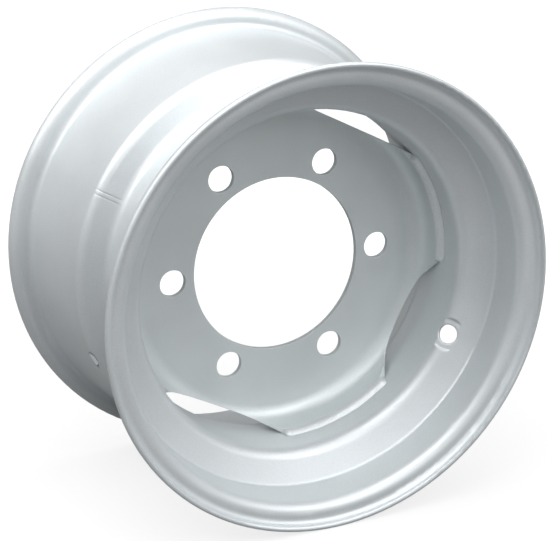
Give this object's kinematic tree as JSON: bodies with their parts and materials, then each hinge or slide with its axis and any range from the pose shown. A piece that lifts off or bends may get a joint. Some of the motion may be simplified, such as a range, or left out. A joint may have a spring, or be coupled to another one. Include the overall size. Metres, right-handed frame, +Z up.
{
  "type": "steel disc wheel",
  "caption": "Bare steel disc wheel: a rolled drop-centre rim with a dished, scalloped disc welded into its well, bored and drilled to bolt to a hub.",
  "frame": {"origin": "wheel centre: on the axle line, at the middle of the rim's width, which is also the hub face", "axes": "+Y along the axle line from the wheel's outer side to its inner side, +Z up"},
  "size_m": [0.424, 0.253, 0.424],
  "materials": {
    "rim_paint": "satin silver-grey paint",
    "disc_paint": "satin silver-grey paint",
    "weld_paint": "silver-grey paint over a rippled bead"
  },
  "bodies": {
    "root": {"rim": "rim_paint", "disc": "disc_paint", "weld_bead_1": "weld_paint", "weld_bead_2": "weld_paint", "weld_bead_3": "weld_paint", "weld_bead_4": "weld_paint"}
  },
  "joints": []
}
